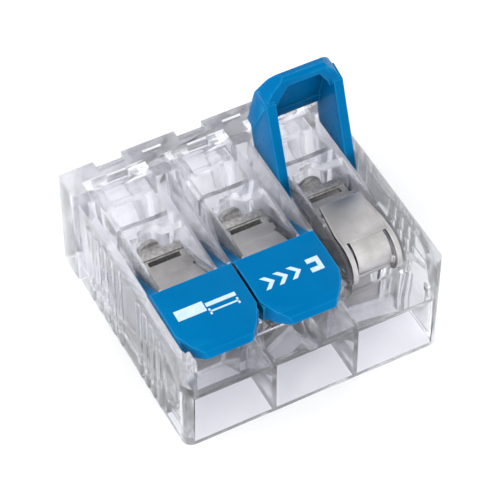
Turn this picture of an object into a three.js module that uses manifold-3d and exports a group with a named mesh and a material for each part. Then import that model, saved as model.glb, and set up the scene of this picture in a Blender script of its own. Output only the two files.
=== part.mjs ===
// Three-way lever wire connector: a clear housing with a snapped-in rear cover, a tinned current
// bar, and for each wire a clamp spring with its fixed foot and a blue lever. The levers of ports 1
// and 2 are closed and the lever of port 3 stands open.
// Millimetres, +Z up. While it is modelled, X runs along the ports from the left side, Y runs from
// the front face to the back, and Z = 0 is the underside. The finished group is then shifted so
// that its origin is the centre of the underside.

import * as THREE from "three";
import { mergeVertices } from "three/addons/utils/BufferGeometryUtils.js";
import Module from "manifold-3d";

const wasm = await Module();
wasm.setup();

// ---------------------------------------------------------------- driving dimensions

const WIDTH = 18.8;
const DEPTH = 18.2;
const HEIGHT = 8.45;
const PORTS = [1, 2, 3];
const OPEN_PORT = 3;
const PITCH = 5.97;
const portX = (port) => WIDTH / 2 + (port - 2) * PITCH;
const PORT_BOUNDARIES = [portX(1) + PITCH / 2, portX(2) + PITCH / 2];

const FLOOR = 0.35; // the housing's underside
const CORNER_R = 0.7; // front corners of the plan outline
const SIDE_WALL = 0.6;
const PARTITION_TOP = 6; // the walls between neighbouring ports are this low under the tabs
const FRONT_POST = 0.9; // the side walls are thicker at the very front
const SEAM_Y = 15.9; // joint between housing and rear cover
const JOINT_GAP = 0.05;
const TURN_GAP = 0.06; // running clearance round everything that turns

// upright grip ribs on both sides
const RIB_HALF = 0.28;
const RIB_PROUD = 0.12;
const RIB_BOTTOM = 0.35;

// wire entries and the shelf over them
const ENTRY_HALF = 2.82;
const ENTRY_TOP = 4.7;
const ENTRY_DEPTH = 3.2;
const SHELF_TOP = 5.05;
const GUIDE_HALF = 1.4; // the narrow way on, for the bare conductor only
const GUIDE_Z = [1.55, 4.4];
const GUIDE_START_Y = 4.2;
const PAD_TOP = 5.4; // raised pad on the shelf in front of the middle port
const PAD_HALF = 3.15;
const PAD_BACK_Y = 2.4;
const GROOVE_R = 0.85; // round groove along the middle of the pad
const GROOVE_Z = 5.7;

// what stands side by side across one port, as distances from its middle
const METAL_HALF = 1.8;
const INNER_WALL = [1.9, 2.07];
const INNER_WALL_TOP = 8.15; // in front, under the tabs
const TAB_ROOM_BACK_Y = 6.3;
const ARM = [2.15, 2.82];
const SLOT = [2.09, 2.87];
const TAB_HALF = 2.88;

// lever, in its closed place
const PIVOT = [11.55, 3.5];
const LEVER_OPENING = 76;
const HUB_R = 1.5;
const PIN_R = 0.66;
const PIN_HOLE_R = 0.72;
const TAB_SHELL = 0.5;
const TAB_NOSE_Y = 0.2;
const TAB_NOSE_HALF = 1.5;
const TAB_SHOULDER_Y = 2.3;
const TAB_CORNER_BULGE = 0.12;
const TAB_BACK_Y = 5.9;
const TAB_TOP = 8.85;

// clamp spring, in its closed place: it turns about the middle of its curl
const STRIP = 0.3;
const CURL = [4.15, 6.6];
const CURL_R = 1.58;
const TONGUE_CURL = [4.35, 6.75]; // the middle of the curl is drawn in to make the tongue
const TONGUE_R = 1.33;
const TONGUE_HALF = 1.22;
const TONGUE_TIP = [8.9, 1.75];
const LEG = [1.45, 1.8];
const PLATE_ANGLE = 75; // where on the curl the flat top plate begins
const PLATE_BACK_Y = 8.2;
const PLATE_BACK_HALF = 1.35;
const LEG_END_ANGLE = 225;
const SPRING_LIFT = 15;

// shallow panel sunk in the deck over each port, half on the housing and half on the rear cover
const PANEL_HALF = 1.85;
const PANEL_Y = [14.4, 16.3];
const PANEL_DEPTH = 0.08;

// rear cover: hollow behind each port, a square plug into the housing, and marks in its top
const COVER_HOLLOW_HALF = 2.3;
const COVER_HOLLOW_Z = [0.7, 7.5];
const COVER_WALL_Y = 17.35;
const PLUG_HALF = 1.64;
const PLUG_WALL = 0.5;
const PLUG_REACH = 1.2;
const PLUG_Z = [FLOOR + 0.26, 7.34];
const NOTCH_HALF = 1.0;
const NOTCH_Y = 17.5;
const NOTCH_BOTTOM = 7.85;
const PROBE_HALF = 0.75;
const PROBE_Y = [16.6, 16.85];
const SLIT_HALF = 0.7;
const SLIT_Y = [17.4, 17.6];

// foot of the spring: a cross strip under the curl and two legs down to the current bar
const FOOT_Y = [3.6, 4.0];
const FOOT_Z = [5.1, 5.4];
const FOOT_LEG_Y = [4.42, 4.75];

// current bar
const BAR_Z = [0.95, 1.5];
const BAR_Y = [4.7, 11.7];
const BAR_END_GAP = 0.85; // from the housing's side to the end of the bar
const UPRIGHT_HALF = 1.55;
const UPRIGHT_Y = [10.0, 10.6];
const UPRIGHT_TOP = 6.95;
const WIRE_WINDOW_HALF = 1.32; // the tongue swings into this window
const WIRE_WINDOW_TOP = 4.9;
const LEDGE_Y = [8.3, 10.1];
const LEDGE_Z = [6.4, 6.8];
const LEDGE_SLIT_HALF = 1.15;
const LEDGE_SLIT_Y = [9.5, 9.9];
const HUMP_OFF_MIDDLE = -0.45; // round hump behind the ledge, to the left of the port's middle
const HUMP_R = 0.75;
const HUMP_Y = [11.0, 11.3];
const HUMP_Z = 6.55;

// ---------------------------------------------------------------- solids

const rad = (degrees) => (degrees * Math.PI) / 180;

function solid(geometry) {
  geometry.deleteAttribute("normal");
  geometry.deleteAttribute("uv");
  const merged = mergeVertices(geometry, 1e-4);
  return new wasm.Manifold(
    new wasm.Mesh({
      numProp: 3,
      vertProperties: new Float32Array(merged.attributes.position.array),
      triVerts: new Uint32Array(merged.index.array),
    }),
  );
}

function block([x0, x1], [y0, y1], [z0, z1]) {
  const box = new THREE.BoxGeometry(x1 - x0, y1 - y0, z1 - z0);
  box.translate((x0 + x1) / 2, (y0 + y1) / 2, (z0 + z1) / 2);
  return solid(box);
}

function extruded(shape, length, segments) {
  return new THREE.ExtrudeGeometry(shape, { depth: length, bevelEnabled: false, curveSegments: segments });
}

const axisOf = (x, y, z) => new THREE.Vector3(x, y, z);

// a side view (y, z) made solid from x0 to x1
function alongX(shape, [x0, x1], segments = 6) {
  const turn = new THREE.Matrix4().makeBasis(axisOf(0, 1, 0), axisOf(0, 0, 1), axisOf(1, 0, 0));
  return solid(extruded(shape, x1 - x0, segments).applyMatrix4(turn).translate(x0, 0, 0));
}

// a front view (x, z) made solid from y0 to y1
function alongY(shape, [y0, y1], segments = 6) {
  const turn = new THREE.Matrix4().makeBasis(axisOf(1, 0, 0), axisOf(0, 0, 1), axisOf(0, -1, 0));
  return solid(extruded(shape, y1 - y0, segments).applyMatrix4(turn).translate(0, y1, 0));
}

// a plan view (x, y) made solid from z0 to z1
function alongZ(shape, [z0, z1], segments = 6) {
  return solid(extruded(shape, z1 - z0, segments).translate(0, 0, z0));
}

const polygon = (points) => new THREE.Shape(points.map(([a, b]) => new THREE.Vector2(a, b)));

function disc([a, b], r) {
  const shape = new THREE.Shape();
  shape.absarc(a, b, r, 0, 2 * Math.PI);
  return shape;
}

const join = (parts) => parts.reduce((whole, part) => whole.add(part));
const cut = (whole, parts) => parts.reduce((rest, part) => rest.subtract(part), whole);

// a span that is as wide on both sides of x
const about = (x, half) => [x - half, x + half];

// the two mirrored spans of something that stands on both sides of x
const bothSides = (x, [near, far]) => [
  [x - far, x - near],
  [x + near, x + far],
];

// points on an arc, with angles in degrees
function arc([a, b], r, from, to, steps) {
  return Array.from({ length: steps + 1 }, (_, i) => {
    const angle = rad(from + ((to - from) * i) / steps);
    return [a + r * Math.cos(angle), b + r * Math.sin(angle)];
  });
}

// a bent strip of sheet seen from the side: its outer line, and the same line one thickness inside
function stripShape(outer, thickness = STRIP) {
  const inner = outer.map((point, i) => {
    const before = outer[Math.max(i - 1, 0)];
    const after = outer[Math.min(i + 1, outer.length - 1)];
    const along = new THREE.Vector2(after[0] - before[0], after[1] - before[1]).normalize();
    return [point[0] - along.y * thickness, point[1] + along.x * thickness];
  });
  return polygon([...outer, ...inner.reverse()]);
}

// turns a solid about the line along X through a point (y, z)
function turned(part, [y, z], degrees) {
  return part.translate([0, -y, -z]).rotate([degrees, 0, 0]).translate([0, y, z]);
}

// ---------------------------------------------------------------- housing

function housingOutline() {
  const shape = new THREE.Shape();
  shape.moveTo(CORNER_R, 0);
  shape.lineTo(WIDTH - CORNER_R, 0);
  shape.absarc(WIDTH - CORNER_R, CORNER_R, CORNER_R, -Math.PI / 2, 0);
  shape.lineTo(WIDTH, SEAM_Y);
  shape.lineTo(0, SEAM_Y);
  shape.lineTo(0, CORNER_R);
  shape.absarc(CORNER_R, CORNER_R, CORNER_R, Math.PI, 1.5 * Math.PI);
  return shape;
}

// the space that a lever's arm sweeps between closed and open
function armSlotShape() {
  const top = HEIGHT + 1;
  return polygon([
    [1.0, top],
    [1.0, 7.0],
    [3.2, 6.05],
    [8.5, 2.6],
    ...arc(PIVOT, HUB_R + TURN_GAP, 225, 335, 6),
    [14.6, 5.5],
    [15.1, HEIGHT],
    [15.1, top],
  ]);
}

// the square entry, the funnel behind it, and the narrow way on to the clamp
function entryCut(x) {
  const funnel = polygon([
    [x - ENTRY_HALF + 0.4, ENTRY_DEPTH - 0.1],
    [x + ENTRY_HALF - 0.4, ENTRY_DEPTH - 0.1],
    [x + GUIDE_HALF, GUIDE_START_Y],
    [x - GUIDE_HALF, GUIDE_START_Y],
  ]);
  return join([
    block(about(x, ENTRY_HALF), [-1, ENTRY_DEPTH], [FLOOR, ENTRY_TOP]),
    alongZ(funnel, GUIDE_Z),
    block(about(x, GUIDE_HALF), [GUIDE_START_Y - 0.1, 6], GUIDE_Z),
  ]);
}

function clampChamberCuts(x) {
  const wide = about(x, INNER_WALL[0]);
  return [
    block(wide, [2.3, 10.9], [SHELF_TOP, HEIGHT + 1]),
    block(wide, [4.35, 12.2], [BAR_Z[0] - JOINT_GAP, SHELF_TOP + 0.5]),
    block(wide, [9, 12.2], [SHELF_TOP, 7.75]),
    alongZ(disc([x + HUMP_OFF_MIDDLE, 10.6], 0.95), [7, HEIGHT + 1], 10),
  ];
}

// window in the side wall near the front, with the lug of the catch standing in it
function latchWindow(x0, x1) {
  const window = block([x0, x1], [0.75, 2.75], [0.45, 5.1]);
  const lug = polygon([
    [1.3, 5.2],
    [1.3, 2.6],
    [2.75, 1.9],
    [2.75, 5.2],
  ]);
  return window.subtract(alongX(lug, [x0 - 1, x1 + 1]));
}

function gripRibs(x0, x1) {
  const rib = (y, top) => block([x0, x1], about(y, RIB_HALF), [RIB_BOTTOM, top]);
  const front = [0, 1, 2, 3].map((i) => rib(3.6 + 0.95 * i, 7.5 + 0.1 * i));
  const back = [0, 1, 2, 3, 4].map((i) => rib(9.4 + 1.1 * i, 8.15 - 0.18 * i));
  return [...front, ...back];
}

const deckPanels = () =>
  PORTS.map((port) => block(about(portX(port), PANEL_HALF), PANEL_Y, [HEIGHT - PANEL_DEPTH, HEIGHT + 1]));

function shelfPad() {
  const x = portX(2);
  return block(about(x, PAD_HALF), [0.05, PAD_BACK_Y], [ENTRY_TOP + 0.1, PAD_TOP]);
}

const shelfGroove = () => alongY(disc([portX(2), GROOVE_Z], GROOVE_R), [-1, PAD_BACK_Y + 1], 10);

// room for the tabs beside and between the ports, and the rounded front corner of the inner walls
function tabRoomCuts() {
  const spans = [
    [portX(1) - TAB_HALF - TURN_GAP, portX(1) - INNER_WALL[1]],
    [portX(1) + INNER_WALL[1], portX(2) - INNER_WALL[1]],
    [portX(2) + INNER_WALL[1], portX(3) - INNER_WALL[1]],
    [portX(3) + INNER_WALL[1], portX(3) + TAB_HALF + TURN_GAP],
  ];
  const room = spans.map((span) => block(span, [1.2, TAB_ROOM_BACK_Y], [7.0, HEIGHT + 1]));
  const overWalls = polygon([
    [2.5, 6.0],
    [2.7, 6.9],
    [3.2, 7.6],
    [4.0, 8.03],
    [5.0, INNER_WALL_TOP],
    [TAB_ROOM_BACK_Y, INNER_WALL_TOP],
    [TAB_ROOM_BACK_Y, HEIGHT + 1],
    [2.5, HEIGHT + 1],
  ]);
  const walls = PORTS.flatMap((port) => bothSides(portX(port), [INNER_WALL[0] - 0.05, INNER_WALL[1] + 0.05]));
  return [...room, ...walls.map((span) => alongX(overWalls, span))];
}

function housing() {
  const barRoomX = [SIDE_WALL + 0.15, WIDTH - SIDE_WALL - 0.15];
  const barRoomZ = [BAR_Z[0] - JOINT_GAP, BAR_Z[1] + JOINT_GAP];
  const cuts = [
    block([FRONT_POST, WIDTH - FRONT_POST], [-1, 2.6], [SHELF_TOP, HEIGHT + 1]),
    ...tabRoomCuts(),
    ...PORT_BOUNDARIES.map((x) => block(about(x, 0.25), [1.2, TAB_ROOM_BACK_Y], [PARTITION_TOP, HEIGHT + 1])),
    block(barRoomX, [4.35, SEAM_Y + 1], barRoomZ),
    ...deckPanels(),
    latchWindow(-1, 0.35),
    latchWindow(WIDTH - 0.35, WIDTH + 1),
  ];
  const pins = [];
  for (const port of PORTS) {
    const x = portX(port);
    cuts.push(entryCut(x), ...clampChamberCuts(x));
    cuts.push(...bothSides(x, SLOT).map((span) => alongX(armSlotShape(), span)));
    cuts.push(block(about(x, 1.7), [12.7, SEAM_Y + 1], [FLOOR + 0.2, 7.4]));
    const reach = [INNER_WALL[0], ARM[1] - 0.05];
    pins.push(...bothSides(x, reach).map((span) => alongX(disc(PIVOT, PIN_R), span, 7)));
  }
  const ribs = [...gripRibs(-RIB_PROUD, 0.1), ...gripRibs(WIDTH - 0.1, WIDTH + RIB_PROUD)];
  const shell = cut(join([alongZ(housingOutline(), [0, HEIGHT]), ...ribs]), cuts);
  return join([shell.add(shelfPad()).subtract(shelfGroove()), ...pins]);
}

// ---------------------------------------------------------------- rear cover

function plug(x) {
  const wall = block(about(x, PLUG_HALF), [SEAM_Y - PLUG_REACH, COVER_WALL_Y + 0.05], PLUG_Z);
  const insideY = [SEAM_Y - PLUG_REACH - 1, COVER_WALL_Y];
  const insideZ = [PLUG_Z[0] + PLUG_WALL, PLUG_Z[1] - PLUG_WALL];
  return wall.subtract(block(about(x, PLUG_HALF - PLUG_WALL), insideY, insideZ));
}

function rearCover() {
  const outer = block([-RIB_PROUD, WIDTH + RIB_PROUD], [SEAM_Y + JOINT_GAP, DEPTH], [0, HEIGHT]);
  const hollow = (x) => block(about(x, COVER_HOLLOW_HALF), [SEAM_Y - 1, COVER_WALL_Y], COVER_HOLLOW_Z);
  const notch = (x) => block(about(x, NOTCH_HALF), [NOTCH_Y, DEPTH + 1], [NOTCH_BOTTOM, HEIGHT + 1]);
  const probe = (x) => block(about(x, PROBE_HALF), PROBE_Y, [7, HEIGHT + 1]);
  const slit = (x) => block(about(x, SLIT_HALF), SLIT_Y, [8.1, HEIGHT + 1]);
  const ports = PORTS.map(portX);
  const walls = join([cut(outer, ports.map(hollow)), ...ports.map(plug)]);
  const slits = PORT_BOUNDARIES.map(slit);
  return cut(walls, [...ports.map(notch), ...ports.map(probe), ...slits, ...deckPanels()]);
}

// ---------------------------------------------------------------- metal

// the bar itself, and for each port an upright with a window for the wire and a slotted ledge
function currentBar() {
  const parts = [block([BAR_END_GAP, WIDTH - BAR_END_GAP], BAR_Y, BAR_Z)];
  const windows = [];
  for (const port of PORTS) {
    const x = portX(port);
    const humpX = x + HUMP_OFF_MIDDLE;
    parts.push(block(about(x, UPRIGHT_HALF), UPRIGHT_Y, [BAR_Z[1] - 0.1, UPRIGHT_TOP]));
    parts.push(block(about(x, UPRIGHT_HALF), LEDGE_Y, LEDGE_Z));
    parts.push(block([x + UPRIGHT_HALF - 0.15, x + UPRIGHT_HALF + 0.2], [8.7, 9.3], LEDGE_Z));
    parts.push(block(about(humpX, HUMP_R), [UPRIGHT_Y[0], HUMP_Y[1] + 0.05], [LEDGE_Z[0], LEDGE_Z[1] + 0.1]));
    parts.push(alongY(disc([humpX, HUMP_Z], HUMP_R), HUMP_Y, 10));
    windows.push(block(about(x, WIRE_WINDOW_HALF), [9, 11.9], [BAR_Z[1], WIRE_WINDOW_TOP]));
    windows.push(block(about(x, LEDGE_SLIT_HALF), LEDGE_SLIT_Y, [6, 7]));
  }
  return cut(join(parts), windows);
}

// the fixed end of the spring: it stands on the current bar on both sides of the wire
function springFoot(x) {
  const cross = block(about(x, METAL_HALF), FOOT_Y, FOOT_Z);
  const side = polygon([
    [FOOT_Y[1] - 0.1, FOOT_Z[0]],
    [FOOT_LEG_Y[0], FOOT_Z[0]],
    [FOOT_LEG_Y[0], BAR_Z[1] + JOINT_GAP],
    [FOOT_LEG_Y[1], BAR_Z[1] + JOINT_GAP],
    [FOOT_LEG_Y[1], FOOT_Z[1]],
    [FOOT_Y[1] - 0.1, FOOT_Z[1]],
  ]);
  return join([cross, ...bothSides(x, LEG).map((span) => alongX(side, span))]);
}

// plan of the top plate and the curl, tapered towards the back edge
function springPlan(x) {
  return polygon([
    [x - METAL_HALF, 2],
    [x + METAL_HALF, 2],
    [x + METAL_HALF, 5.6],
    [x + PLATE_BACK_HALF, PLATE_BACK_Y + 1],
    [x - PLATE_BACK_HALF, PLATE_BACK_Y + 1],
    [x - METAL_HALF, 5.6],
  ]);
}

// the top plate with a leg round the curl on each side, and between them the tongue for the wire
function clampSpring(x) {
  const [front] = arc(CURL, CURL_R, PLATE_ANGLE, PLATE_ANGLE, 1);
  const drop = (PLATE_BACK_Y - front[0]) / Math.tan(rad(PLATE_ANGLE));
  const back = [PLATE_BACK_Y, front[1] - drop];
  const sheetLine = [back, ...arc(CURL, CURL_R, PLATE_ANGLE, LEG_END_ANGLE, 11)];
  const sheet = alongX(stripShape(sheetLine), about(x, METAL_HALF + 0.5));
  const opening = block(about(x, LEG[0]), [1, CURL[0] + 0.6], [4, 9]);
  const tongueLine = [[5.3, 7.9], [4.9, 8.0], ...arc(TONGUE_CURL, TONGUE_R, 80, 270, 13), TONGUE_TIP];
  return join([
    sheet.intersect(alongZ(springPlan(x), [4, 9])).subtract(opening),
    alongX(stripShape(tongueLine), about(x, TONGUE_HALF)),
  ]);
}

// ---------------------------------------------------------------- lever

function armShape() {
  return polygon([
    [1.9, 7.2],
    [3.4, 6.25],
    [8.8, 2.7],
    ...arc(PIVOT, HUB_R, 225, 410, 11),
    [9.9, 6.35],
    [7.9, 7.4],
    [6.5, 8.2],
    [5.6, 8.7],
    [1.9, 8.5],
  ]);
}

// side view of the tab: a crowned top, a nose lip in front and a rib across the back
function tabSide() {
  return polygon([
    [TAB_NOSE_Y, 8.0],
    [0.45, 7.75],
    [TAB_SHOULDER_Y, 7.25],
    [TAB_BACK_Y, 7.95],
    [TAB_BACK_Y, TAB_TOP],
    [4.0, TAB_TOP],
    [TAB_SHOULDER_Y, 8.76],
    [0.9, 8.6],
    [0.45, 8.45],
  ]);
}

function tabPlan(x, half, noseHalf, noseY, backY) {
  const shoulderY = noseY + TAB_SHOULDER_Y - TAB_NOSE_Y;
  const cornerHalf = (noseHalf + half) / 2 + TAB_CORNER_BULGE;
  const cornerY = (noseY + shoulderY) / 2 - TAB_CORNER_BULGE;
  return polygon([
    [x - noseHalf, noseY],
    [x + noseHalf, noseY],
    [x + cornerHalf, cornerY],
    [x + half, shoulderY],
    [x + half, backY],
    [x - half, backY],
    [x - half, shoulderY],
    [x - cornerHalf, cornerY],
  ]);
}

function lever(x) {
  const plan = tabPlan(x, TAB_HALF, TAB_NOSE_HALF, TAB_NOSE_Y, TAB_BACK_Y);
  const tab = alongX(tabSide(), about(x, TAB_HALF)).intersect(alongZ(plan, [6, 10]));
  const hollowPlan = tabPlan(x, ARM[0], TAB_NOSE_HALF - 0.35, TAB_NOSE_Y + 0.75, TAB_BACK_Y - 0.9);
  const underRib = block(about(x, ARM[0]), [TAB_SHOULDER_Y, TAB_BACK_Y + 1], [6, 8.2]);
  const hollow = alongZ(hollowPlan, [6, TAB_TOP - TAB_SHELL]);
  const arms = bothSides(x, ARM).map((span) => alongX(armShape(), span));
  const pinHoles = alongX(disc(PIVOT, PIN_HOLE_R), about(x, PITCH / 2), 7);
  return cut(join([cut(tab, [hollow, underRib]), ...arms]), [pinHoles]);
}

// ---------------------------------------------------------------- assembly

const clear = { color: 0xdfe4e8, roughness: 0.08, metalness: 0, transparent: true, opacity: 0.35 };
const materials = {
  clear: new THREE.MeshStandardMaterial(clear),
  blue: new THREE.MeshStandardMaterial({ color: 0x0b7fc6, roughness: 0.4, metalness: 0 }),
  steel: new THREE.MeshStandardMaterial({ color: 0xa8a7a2, roughness: 0.3, metalness: 1 }),
  tin: new THREE.MeshStandardMaterial({ color: 0x9c9a92, roughness: 0.5, metalness: 1 }),
};

const connector = new THREE.Group();
connector.position.set(-WIDTH / 2, -DEPTH / 2, 0);

function place(name, part, material) {
  const { vertProperties, triVerts } = part.getMesh();
  const geometry = new THREE.BufferGeometry();
  geometry.setAttribute("position", new THREE.BufferAttribute(vertProperties, 3));
  geometry.setIndex(new THREE.BufferAttribute(triVerts, 1));
  geometry.computeVertexNormals();
  const mesh = new THREE.Mesh(geometry, material);
  mesh.name = name;
  connector.add(mesh);
}

place("housing", housing(), materials.clear);
place("rear_cover", rearCover(), materials.clear);
place("current_bar", currentBar(), materials.tin);
for (const port of PORTS) {
  const x = portX(port);
  const isOpen = port === OPEN_PORT;
  place(`spring_foot_${port}`, springFoot(x), materials.steel);
  place(`clamp_spring_${port}`, turned(clampSpring(x), CURL, isOpen ? SPRING_LIFT : 0), materials.steel);
  place(`lever_${port}`, turned(lever(x), PIVOT, isOpen ? -LEVER_OPENING : 0), materials.blue);
}

export default connector;
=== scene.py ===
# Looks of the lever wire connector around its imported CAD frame. Metres, +Z up, front at -Y.
import math

import bmesh
import bpy
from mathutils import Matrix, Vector


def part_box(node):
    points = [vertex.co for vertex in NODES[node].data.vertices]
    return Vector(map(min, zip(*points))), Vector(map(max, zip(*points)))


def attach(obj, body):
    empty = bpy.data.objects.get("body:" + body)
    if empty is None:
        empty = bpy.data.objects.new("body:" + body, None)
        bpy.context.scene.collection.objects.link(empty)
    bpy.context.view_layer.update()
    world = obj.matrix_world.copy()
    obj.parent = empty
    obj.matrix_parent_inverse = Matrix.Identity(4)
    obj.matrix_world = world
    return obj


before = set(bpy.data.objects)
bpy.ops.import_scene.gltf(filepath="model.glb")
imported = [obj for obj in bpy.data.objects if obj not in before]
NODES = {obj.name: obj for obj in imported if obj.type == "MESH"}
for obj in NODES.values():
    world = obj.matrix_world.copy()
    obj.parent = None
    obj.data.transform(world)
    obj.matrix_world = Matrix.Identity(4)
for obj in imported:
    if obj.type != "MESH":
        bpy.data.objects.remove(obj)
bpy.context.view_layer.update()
MM = 0.001
PORTS = (1, 2, 3)

# ---------------------------------------------------------------- camera, floor and light

CAMERA_AT = Vector((-51.13, -97.52, 135.36)) * MM
CAMERA_LOOKS_ALONG = Vector((0.29973, 0.5717, -0.76375))
CAMERA_LENS_MM = 186.0
SENSOR_WIDTH_MM = 36.0
CAMERA_SEES_FROM = 0.005
CAMERA_SEES_TO = 10.0

FLOOR_HALF = 1.5
FLOOR_BELOW = 0.03 * MM  # gap that keeps the floor and the underside from sharing a plane
FLOOR_COLOUR = (0.91, 0.91, 0.915)
FLOOR_ROUGHNESS = 0.9
FLOOR_GLOSS = 0.1
FLOOR_GLOW = 0.04  # a little emission, so that the floor looks plain white

BRIGHTEST_SKY = (-0.35, -0.45, 0.82)  # direction: high over the left and front
DIM_SKY_COLOUR = (0.92, 0.922, 0.945)
BRIGHT_SKY_COLOUR = (1.0, 1.0, 1.0)
DIM_SKY_LIKENESS = 0.0  # dot product with BRIGHTEST_SKY at and below which the sky is dim
BRIGHT_SKY_LIKENESS = 0.5  # and at and above which it is bright
SKY_STRENGTH = 1.15

LAMPS = {
    "key": {"at": (-0.45, -0.25, 0.35), "target": (0, 0, 0), "size": (0.25, 0.25), "watts": 1.6},
    "rim": {"at": (0.3, 0.35, 0.3), "target": (0, 0, 0.005), "size": (0.2, 0.3), "watts": 0.15},
}


def add_camera():
    data = bpy.data.cameras.new("camera")
    data.lens = CAMERA_LENS_MM
    data.sensor_width = SENSOR_WIDTH_MM
    data.clip_start = CAMERA_SEES_FROM
    data.clip_end = CAMERA_SEES_TO
    camera = bpy.data.objects.new("camera", data)
    camera.rotation_mode = "QUATERNION"
    camera.location = CAMERA_AT
    camera.rotation_quaternion = CAMERA_LOOKS_ALONG.to_track_quat("-Z", "Y")
    bpy.context.scene.collection.objects.link(camera)
    bpy.context.scene.camera = camera


def add_lamp(name, at, target, size, watts):
    data = bpy.data.lights.new(name, "AREA")
    data.shape = "RECTANGLE"
    data.size, data.size_y = size
    data.energy = watts
    lamp = bpy.data.objects.new(name, data)
    lamp.location = at
    lamp.rotation_mode = "QUATERNION"
    lamp.rotation_quaternion = (Vector(target) - Vector(at)).to_track_quat("-Z", "Y")
    bpy.context.scene.collection.objects.link(lamp)


def add_floor():
    mesh = bpy.data.meshes.new("floor")
    half = FLOOR_HALF
    corners = [(-half, -half, 0), (half, -half, 0), (half, half, 0), (-half, half, 0)]
    mesh.from_pydata(corners, [], [(0, 1, 2, 3)])
    floor = bpy.data.objects.new("floor", mesh)
    floor.location.z = -FLOOR_BELOW
    bpy.context.scene.collection.objects.link(floor)
    material = bpy.data.materials.new("floor_white")
    material.use_nodes = True
    shader = material.node_tree.nodes["Principled BSDF"]
    shader.inputs["Base Color"].default_value = (*FLOOR_COLOUR, 1)
    shader.inputs["Roughness"].default_value = FLOOR_ROUGHNESS
    shader.inputs["Specular IOR Level"].default_value = FLOOR_GLOSS
    shader.inputs["Emission Color"].default_value = (1, 1, 1, 1)
    shader.inputs["Emission Strength"].default_value = FLOOR_GLOW
    mesh.materials.append(material)


def add_world():
    """White studio that is brightest over the left and front, and a little dimmer on the far side."""
    world = bpy.data.worlds.new("studio")
    world.use_nodes = True
    nodes, links = world.node_tree.nodes, world.node_tree.links
    background = nodes["Background"]
    coordinate = nodes.new("ShaderNodeTexCoord")
    likeness = nodes.new("ShaderNodeVectorMath")
    likeness.operation = "DOT_PRODUCT"
    likeness.inputs[1].default_value = BRIGHTEST_SKY
    ramp = nodes.new("ShaderNodeValToRGB")
    links.new(coordinate.outputs["Generated"], likeness.inputs[0])
    links.new(likeness.outputs["Value"], ramp.inputs[0])
    links.new(ramp.outputs[0], background.inputs["Color"])
    dim, bright = ramp.color_ramp.elements
    dim.position = DIM_SKY_LIKENESS
    dim.color = (*DIM_SKY_COLOUR, 1)
    bright.position = BRIGHT_SKY_LIKENESS
    bright.color = (*BRIGHT_SKY_COLOUR, 1)
    background.inputs["Strength"].default_value = SKY_STRENGTH
    bpy.context.scene.world = world


# ---------------------------------------------------------------- node trees

NOISE_LOW = 0.3  # most of a noise's values lie between these two
NOISE_HIGH = 0.7
HOLLOW_OPENNESS = 0.25  # ambient occlusion at and below which a surface counts as a full hollow
OPEN_OPENNESS = 0.75  # and at and above which it counts as open
EDGE_LIKENESS = 0.8  # dot product of rounded and true normal: at and below this a point is on an edge
FLAT_LIKENESS = 0.99  # and at and above this it is on a flat face


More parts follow.
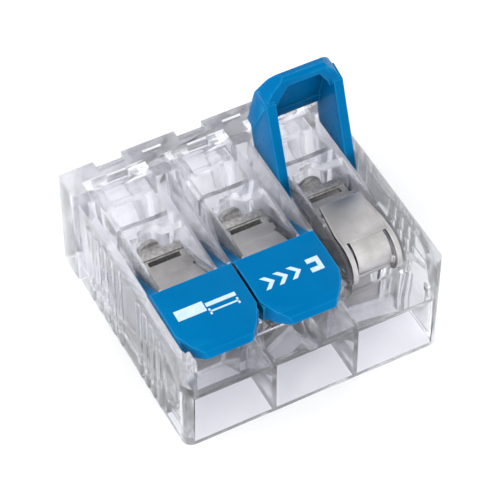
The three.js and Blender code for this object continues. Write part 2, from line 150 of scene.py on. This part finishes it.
class Nodes:
    """A material's node tree with short ways to add and join nodes."""

    def __init__(self, name):
        self.material = bpy.data.materials.new(name)
        self.material.use_nodes = True
        self.tree = self.material.node_tree
        self.shader = self.tree.nodes["Principled BSDF"]

    def add(self, kind, **inputs):
        node = self.tree.nodes.new(kind)
        for key, value in inputs.items():
            node.inputs[key.replace("_", " ")].default_value = value
        return node

    def join(self, output, target):
        self.tree.links.new(output, target)

    def set(self, **inputs):
        for key, value in inputs.items():
            self.shader.inputs[key.replace("_", " ")].default_value = value

    def colour_from(self, colour):
        self.join(colour, self.shader.inputs["Base Color"])

    def roughness_from(self, texture, smoothest, roughest):
        self.join(self.remap(texture, smoothest, roughest), self.shader.inputs["Roughness"])

    def bump_from(self, texture, depth_mm, strength):
        node = self.add("ShaderNodeBump", Strength=strength, Distance=depth_mm * MM)
        self.join(texture, node.inputs["Height"])
        self.join(node.outputs[0], self.shader.inputs["Normal"])

    def noise(self, per_mm, detail=4.0, stretch=(1, 1, 1)):
        """Noise fixed to the object, with about per_mm blotches in a millimetre."""
        coordinate = self.add("ShaderNodeTexCoord")
        mapping = self.add("ShaderNodeMapping")
        mapping.inputs["Scale"].default_value = [share / MM for share in stretch]
        texture = self.add("ShaderNodeTexNoise", Scale=per_mm, Detail=detail)
        self.join(coordinate.outputs["Object"], mapping.inputs["Vector"])
        self.join(mapping.outputs[0], texture.inputs["Vector"])
        return texture.outputs["Fac"]

    def remap(self, value, low, high, from_low=NOISE_LOW, from_high=NOISE_HIGH):
        node = self.add("ShaderNodeMapRange")
        self.join(value, node.inputs["Value"])
        node.inputs["From Min"].default_value = from_low
        node.inputs["From Max"].default_value = from_high
        node.inputs["To Min"].default_value = low
        node.inputs["To Max"].default_value = high
        return node.outputs[0]

    def tint(self, texture, dark, light):
        """A noise as a colour between dark and light."""
        ramp = self.add("ShaderNodeValToRGB")
        first, last = ramp.color_ramp.elements
        first.position = NOISE_LOW
        first.color = (*dark, 1)
        last.position = NOISE_HIGH
        last.color = (*light, 1)
        self.join(texture, ramp.inputs[0])
        return ramp.outputs[0]

    def mixed(self, factor, first, second):
        """The first colour where the factor is 0, the second where it is 1."""
        node = self.add("ShaderNodeMix")
        node.data_type = "RGBA"
        self.join(factor, node.inputs[0])
        self.join(first, node.inputs[6])  # inputs 6 and 7 and output 2 are the node's colour sockets
        self.join(second, node.inputs[7])
        return node.outputs[2]

    def mixed_shaders(self, first, second):
        """A mix of two shaders; the caller joins its factor."""
        node = self.add("ShaderNodeMixShader")
        self.join(first, node.inputs[1])
        self.join(second, node.inputs[2])
        return node

    def calculate(self, operation, first, second=0.0):
        """One step of arithmetic; the second value is a number."""
        node = self.add("ShaderNodeMath")
        node.operation = operation
        self.join(first, node.inputs[0])
        node.inputs[1].default_value = second
        return node.outputs[0]

    def millimetres_back(self):
        """How far a point lies behind the object's origin, along Y."""
        coordinate = self.add("ShaderNodeTexCoord")
        parts = self.add("ShaderNodeSeparateXYZ")
        self.join(coordinate.outputs["Object"], parts.inputs[0])
        return self.calculate("MULTIPLY", parts.outputs["Y"], 1 / MM)

    def distance_from_plane(self, back_mm):
        """Distance in millimetres from the upright plane that lies back_mm behind the origin."""
        return self.calculate("ABSOLUTE", self.calculate("SUBTRACT", self.millimetres_back(), back_mm))

    def shaded_hollows(self, colour, hollow_share, reach_mm):
        """Paints shade into a colour where the surface is closed in, down to hollow_share of it."""
        occlusion = self.add("ShaderNodeAmbientOcclusion", Distance=reach_mm * MM)
        share = self.remap(occlusion.outputs["AO"], hollow_share, 1.0, HOLLOW_OPENNESS, OPEN_OPENNESS)
        node = self.add("ShaderNodeVectorMath")
        node.operation = "SCALE"
        self.join(colour, node.inputs[0])
        self.join(share, node.inputs["Scale"])
        return node.outputs[0]

    def highlight_edge_share(self, radius_mm):
        """1 on the edges, 0 on flat faces further from an edge than the radius; it masks painted
        highlights on edges.
        """
        rounded = self.add("ShaderNodeBevel", Radius=radius_mm * MM)
        geometry = self.add("ShaderNodeNewGeometry")
        likeness = self.add("ShaderNodeVectorMath")
        likeness.operation = "DOT_PRODUCT"
        self.join(rounded.outputs["Normal"], likeness.inputs[0])
        self.join(geometry.outputs["True Normal"], likeness.inputs[1])
        return self.remap(likeness.outputs["Value"], 1, 0, EDGE_LIKENESS, FLAT_LIKENESS)


# ---------------------------------------------------------------- materials

HALF_SEAM_MM = 0.025  # half of the gap between the housing's back and the rear cover
SEAM_MIDDLE_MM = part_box("housing")[1][1] / MM + HALF_SEAM_MM
SEAM_NEAR_MM = 0.04  # nearer than this to the seam's middle, all that is seen through comes straight
SEAM_FAR_MM = 0.045  # further than this, only STRAIGHT_SHARE of it does
STRAIGHT_SHARE = 0.12
CLEAR_IOR = 1.36  # less than real polycarbonate's 1.58, which shows the many thin walls darker
THROUGH_COLOUR = (0.91, 0.913, 0.93, 1)  # what one face leaves of light that comes straight through
LAMP_THROUGH_COLOUR = (0.84, 0.843, 0.86, 1)  # the same, for what lamps and sky light behind the face

STEEL_DARK = (0.33, 0.318, 0.316)
STEEL_LIGHT = (0.4, 0.388, 0.386)

# Millimetres behind the origin; negative is in front of it.
CURL_HIGHLIGHT_ENDS_MM = (-5.8, -4.6)  # the painted highlight on the spring's curl fades into the plate
LIP_ENDS_MM = (0.3, 0.5)  # the current bar's plain grey lip turns to mottled tin


def clear_plastic():
    """Polished polycarbonate: it bends most of what is seen through it, and light gets in to the metal."""
    m = Nodes("clear_polycarbonate")
    m.set(Transmission_Weight=0.97, IOR=CLEAR_IOR)
    m.colour_from(m.tint(m.noise(per_mm=0.25), dark=(0.935, 0.938, 0.96), light=(0.96, 0.962, 0.982)))
    m.roughness_from(m.noise(per_mm=1.2), smoothest=0.0, roughest=0.015)
    m.bump_from(m.noise(per_mm=0.8, detail=2.0), depth_mm=0.002, strength=0.3)
    straight = m.add("ShaderNodeBsdfTransparent", Color=THROUGH_COLOUR)
    lamp_straight = m.add("ShaderNodeBsdfTransparent", Color=LAMP_THROUGH_COLOUR)
    seen = m.mixed_shaders(m.shader.outputs[0], straight.outputs[0])
    from_seam = m.distance_from_plane(SEAM_MIDDLE_MM)
    m.join(m.remap(from_seam, 1.0, STRAIGHT_SHARE, SEAM_NEAR_MM, SEAM_FAR_MM), seen.inputs["Fac"])
    surface = m.mixed_shaders(seen.outputs[0], lamp_straight.outputs[0])
    path = m.add("ShaderNodeLightPath")
    m.join(path.outputs["Is Shadow Ray"], surface.inputs["Fac"])
    m.join(surface.outputs[0], m.tree.nodes["Material Output"].inputs["Surface"])
    return m.material


def blue_plastic():
    """Moulded blue plastic, with a painted highlight on its rounded edges and painted shade in its
    hollows.
    """
    m = Nodes("blue_plastic")
    m.set(Specular_IOR_Level=0.05, Specular_Tint=(0.1, 0.6, 1.0, 1))
    face = m.tint(m.noise(per_mm=0.35), dark=(0.0, 0.13, 0.335), light=(0.0, 0.145, 0.365))
    # painted highlight: a lighter blue for the rounded edges, where they would catch the light
    edge = m.tint(m.noise(per_mm=2.0), dark=(0.01, 0.23, 0.48), light=(0.03, 0.32, 0.6))
    # painted shade: a darker blue where the lever is closed in
    shaded = m.shaded_hollows(face, hollow_share=0.35, reach_mm=3.0)
    m.colour_from(m.mixed(m.highlight_edge_share(radius_mm=0.12), shaded, edge))
    m.roughness_from(m.noise(per_mm=3.0), smoothest=0.26, roughest=0.36)
    m.bump_from(m.noise(per_mm=2.5, detail=1.0), depth_mm=0.002, strength=0.3)
    return m.material


def white_ink():
    """Thin white ink that lets a little of the blue under it through."""
    m = Nodes("white_ink")
    m.set(Specular_IOR_Level=0.2)
    m.colour_from(m.tint(m.noise(per_mm=4.0), dark=(0.48, 0.63, 0.78), light=(0.58, 0.72, 0.85)))
    m.roughness_from(m.noise(per_mm=6.0), smoothest=0.45, roughest=0.65)
    return m.material


def spring_steel():
    """Rolled steel strip, with a painted highlight on its sheared edges and where it is bent round into
    the curl.
    """
    m = Nodes("spring_steel")
    m.set(Metallic=1.0)
    plate = m.tint(m.noise(per_mm=0.8), dark=STEEL_DARK, light=STEEL_LIGHT)
    # painted highlight: the curl is coloured lighter where its bend would catch the light
    curl = m.tint(m.noise(per_mm=1.5), dark=(0.5, 0.485, 0.48), light=(0.64, 0.625, 0.62))
    # painted highlight: lighter steel on the sheared edges
    edge = m.tint(m.noise(per_mm=3.0), dark=(0.68, 0.67, 0.665), light=(0.85, 0.84, 0.835))
    curl_highlight_to_plate = m.remap(m.millimetres_back(), 0, 1, *CURL_HIGHLIGHT_ENDS_MM)
    m.colour_from(m.mixed(m.highlight_edge_share(radius_mm=0.07), m.mixed(curl_highlight_to_plate, curl, plate), edge))
    m.roughness_from(m.noise(per_mm=2.0, stretch=(3, 0.5, 0.5)), smoothest=0.34, roughest=0.42)
    rolling_lines = m.noise(per_mm=6.0, detail=3.0, stretch=(2, 0.4, 0.4))
    m.bump_from(rolling_lines, depth_mm=0.0015, strength=0.4)
    return m.material


def tinned_copper():
    """Rough tin, mottled except on the lip at the front, which is as plain a grey as the springs."""
    m = Nodes("tinned_copper")
    m.set(Metallic=1.0)
    tin = m.tint(m.noise(per_mm=5.0, detail=6.0), dark=(0.28, 0.272, 0.268), light=(0.58, 0.57, 0.56))
    lip = m.tint(m.noise(per_mm=0.8), dark=STEEL_DARK, light=STEEL_LIGHT)
    lip_to_tin = m.remap(m.millimetres_back(), 0, 1, *LIP_ENDS_MM)
    m.colour_from(m.mixed(lip_to_tin, lip, tin))
    m.roughness_from(m.noise(per_mm=3.0), smoothest=0.42, roughest=0.58)
    m.bump_from(m.noise(per_mm=6.0, detail=6.0), depth_mm=0.02, strength=0.8)
    return m.material


# ---------------------------------------------------------------- CAD nodes

WELD_WITHIN = 0.0005 * MM
FLAT_WITHIN = math.radians(1.0)  # faces that turn less than this are joined into one
EDGE_FROM = math.radians(35)  # edges that turn more than this are rounded
HOUSING_ROUNDING_MM = 0.06
COVER_ROUNDING_MM = 0.08
METAL_ROUNDING_MM = 0.05
LEVER_ROUNDING_MM = 0.16


def finish_node(name, material, rounding_mm, steps=2):
    """Gives a CAD node its material and rounds its sharp edges."""
    node = NODES[name]
    node.data.materials.clear()
    node.data.materials.append(material)
    for face in node.data.polygons:
        face.use_smooth = True
    weld = node.modifiers.new("weld", "WELD")
    weld.merge_threshold = WELD_WITHIN
    dissolve = node.modifiers.new("flat faces", "DECIMATE")
    dissolve.decimate_type = "DISSOLVE"
    dissolve.angle_limit = FLAT_WITHIN
    bevel = node.modifiers.new("soft edges", "BEVEL")
    bevel.width = rounding_mm * MM
    bevel.segments = steps
    bevel.limit_method = "ANGLE"
    bevel.angle_limit = EDGE_FROM
    bevel.harden_normals = True
    bevel.use_clamp_overlap = True


def dress_nodes():
    clear = clear_plastic()
    blue = blue_plastic()
    steel = spring_steel()
    finish_node("housing", clear, HOUSING_ROUNDING_MM)
    finish_node("rear_cover", clear, COVER_ROUNDING_MM)
    finish_node("current_bar", tinned_copper(), METAL_ROUNDING_MM)
    for port in PORTS:
        finish_node(f"spring_foot_{port}", steel, METAL_ROUNDING_MM)
        finish_node(f"clamp_spring_{port}", steel, METAL_ROUNDING_MM)
        finish_node(f"lever_{port}", blue, LEVER_ROUNDING_MM, steps=3)


# ---------------------------------------------------------------- print on the closed tabs

PRINT_MIDDLE = 3.35 * MM  # from the front of the housing to the middle of the print
PRINT_PROUD = 0.02 * MM  # the print stands this far over the tab and reaches as far into it
TAB_SLOPE = 0.053  # the tab's front part rises this much per unit towards its flat back part
TAB_FLAT_FROM = 4.0 * MM  # from the front of the housing to where the tab gets flat

# The pictograms' outlines are in millimetres from the middle of the print: X to the right, Y back.
BARE_WIRE_X = (-0.1, 2.0)
JACKET_X = (-2.2, -0.2)
WIRE_Y = 0.2
LENGTH_LINE_Y = -0.36
TICK_WIDTH = 0.13
CHEVRON_X = (-2.1, -1.15, -0.2)
CHEVRON_REACH = 0.5
CHEVRON_HALF = 0.5
CHEVRON_THICKNESS = 0.36
STOP_X = (1.2, 2.1)
STOP_BACK_X = (1.78, 2.1)
STOP_ARM_Y = 0.375
STOP_ARM_HALF = 0.175


def bar(x, middle_y, half):
    """Outline of a bar that runs between the two X values."""
    left, right = x
    low, high = middle_y - half, middle_y + half
    return [(left, low), (right, low), (right, high), (left, high)]


def chevron(x):
    thickness, half = CHEVRON_THICKNESS, CHEVRON_HALF
    tip = x + CHEVRON_REACH
    return [
        (x, -half), (x + thickness, -half), (tip + thickness, 0),
        (x + thickness, half), (x, half), (tip, 0),
    ]


def wire_pictogram():
    """A stripped wire over the line that gives its bare length."""
    jacket = bar(JACKET_X, WIRE_Y, half=0.4)
    conductor = bar(BARE_WIRE_X, WIRE_Y, half=0.15)
    line = bar(BARE_WIRE_X, LENGTH_LINE_Y, half=0.06)
    tick_starts = (BARE_WIRE_X[0], BARE_WIRE_X[1] - TICK_WIDTH)
    ticks = [bar((x, x + TICK_WIDTH), LENGTH_LINE_Y, half=0.24) for x in tick_starts]
    return [jacket, conductor, line, *ticks]


def push_pictogram():
    """Three chevrons and a stop: push the wire in as far as it goes."""
    chevrons = [chevron(x) for x in CHEVRON_X]
    arms = [bar(STOP_X, y, STOP_ARM_HALF) for y in (-STOP_ARM_Y, STOP_ARM_Y)]
    back = bar(STOP_BACK_X, 0, half=STOP_ARM_Y - STOP_ARM_HALF)
    return [*chevrons, *arms, back]


def add_prism(builder, bottom, top):
    """Closes two rings of points, one over the other, to a solid."""
    count = len(bottom)
    builder.faces.new(top)
    builder.faces.new(list(reversed(bottom)))
    for i in range(count):
        j = (i + 1) % count
        builder.faces.new((bottom[i], bottom[j], top[j], top[i]))


def add_print(name, port, outlines, ink):
    """Lays a pictogram on the closed tab of this port's lever, and lets it ride on the lever."""
    lever = f"lever_{port}"
    low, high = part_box(lever)
    middle_x = (low[0] + high[0]) / 2
    tab_top = high[2]
    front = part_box("housing")[0][1]
    builder = bmesh.new()

    def ring(outline, lift):
        points = []
        for x, y in outline:
            along = PRINT_MIDDLE + y * MM
            height = tab_top - max(TAB_FLAT_FROM - along, 0) * TAB_SLOPE + lift
            points.append(builder.verts.new((middle_x + x * MM, front + along, height)))
        return points

    for outline in outlines:
        add_prism(builder, ring(outline, -PRINT_PROUD), ring(outline, PRINT_PROUD))
    mesh = bpy.data.meshes.new(name)
    builder.to_mesh(mesh)
    builder.free()
    mesh.materials.append(ink)
    piece = bpy.data.objects.new(name, mesh)
    bpy.context.scene.collection.objects.link(piece)
    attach(piece, lever)


def add_prints():
    ink = white_ink()
    add_print("print_strip_length", 1, wire_pictogram(), ink)
    add_print("print_push_in", 2, push_pictogram(), ink)


# ---------------------------------------------------------------- the scene


dress_nodes()
add_prints()
add_floor()
add_world()
for lamp_name, lamp_values in LAMPS.items():
    add_lamp(lamp_name, **lamp_values)
add_camera()
bpy.context.scene.view_settings.view_transform = "Standard"
